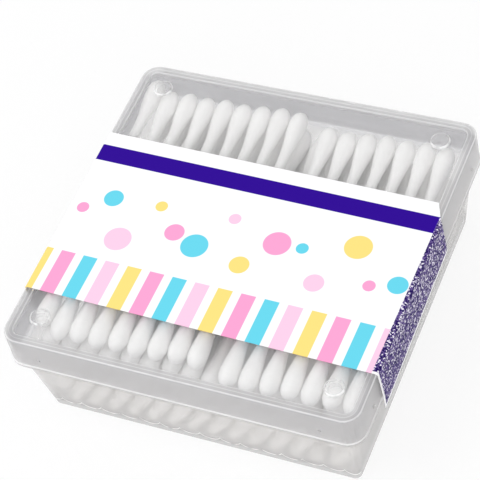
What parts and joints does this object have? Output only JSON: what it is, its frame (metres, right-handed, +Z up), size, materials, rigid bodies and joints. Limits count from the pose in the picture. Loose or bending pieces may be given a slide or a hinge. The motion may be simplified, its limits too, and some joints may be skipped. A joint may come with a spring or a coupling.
{
  "type": "cotton swab box",
  "caption": "Clear square tray with a lift-off lid and a printed label over it, filled with rows of double-ended cotton swabs.",
  "frame": {"origin": "middle of the tray's underside", "axes": "+Z up out of the lid, +X to the right and -Y to the front; the swabs lie along Y"},
  "size_m": [0.0872, 0.0868, 0.0322],
  "materials": {
    "clear_plastic": "clear, slightly milky, glossy",
    "printed_film": "white printed film, satin",
    "cotton": "wound cotton",
    "stick": "white tube"
  },
  "bodies": {
    "tray": {"swab_row_1": "cotton", "swab_row_2": "cotton", "swab_row_3": "cotton", "swab_row_4": "cotton", "swab_row_5": "cotton", "swab_row_6": "cotton", "top_swab_01_back_tip": "cotton", "top_swab_01_front_tip": "cotton", "top_swab_01_stick": "stick", "top_swab_02_back_tip": "cotton", "top_swab_02_front_tip": "cotton", "top_swab_02_stick": "stick", "top_swab_03_back_tip": "cotton", "top_swab_03_front_tip": "cotton", "top_swab_03_stick": "stick", "top_swab_04_back_tip": "cotton", "top_swab_04_front_tip": "cotton", "top_swab_04_stick": "stick", "top_swab_05_back_tip": "cotton", "top_swab_05_front_tip": "cotton", "top_swab_05_stick": "stick", "top_swab_06_back_tip": "cotton", "top_swab_06_front_tip": "cotton", "top_swab_06_stick": "stick", "top_swab_07_back_tip": "cotton", "top_swab_07_front_tip": "cotton", "top_swab_07_stick": "stick", "top_swab_08_back_tip": "cotton", "top_swab_08_front_tip": "cotton", "top_swab_08_stick": "stick", "top_swab_09_back_tip": "cotton", "top_swab_09_front_tip": "cotton", "top_swab_09_stick": "stick", "top_swab_10_back_tip": "cotton", "top_swab_10_front_tip": "cotton", "top_swab_10_stick": "stick", "top_swab_11_back_tip": "cotton", "top_swab_11_front_tip": "cotton", "top_swab_11_stick": "stick", "top_swab_12_back_tip": "cotton", "top_swab_12_front_tip": "cotton", "top_swab_12_stick": "stick", "top_swab_13_back_tip": "cotton", "top_swab_13_front_tip": "cotton", "top_swab_13_stick": "stick", "top_swab_14_back_tip": "cotton", "top_swab_14_front_tip": "cotton", "top_swab_14_stick": "stick", "top_swab_15_back_tip": "cotton", "top_swab_15_front_tip": "cotton", "top_swab_15_stick": "stick", "top_swab_16_back_tip": "cotton", "top_swab_16_front_tip": "cotton", "top_swab_16_stick": "stick", "tray": "clear_plastic"},
    "lid": {"lid": "clear_plastic", "label": "printed_film"}
  },
  "joints": [
    {"name": "lid_lift", "type": "slide", "parent": "tray", "child": "lid", "axis": [0, 0, 1], "range_m": [0, 0.035]}
  ]
}
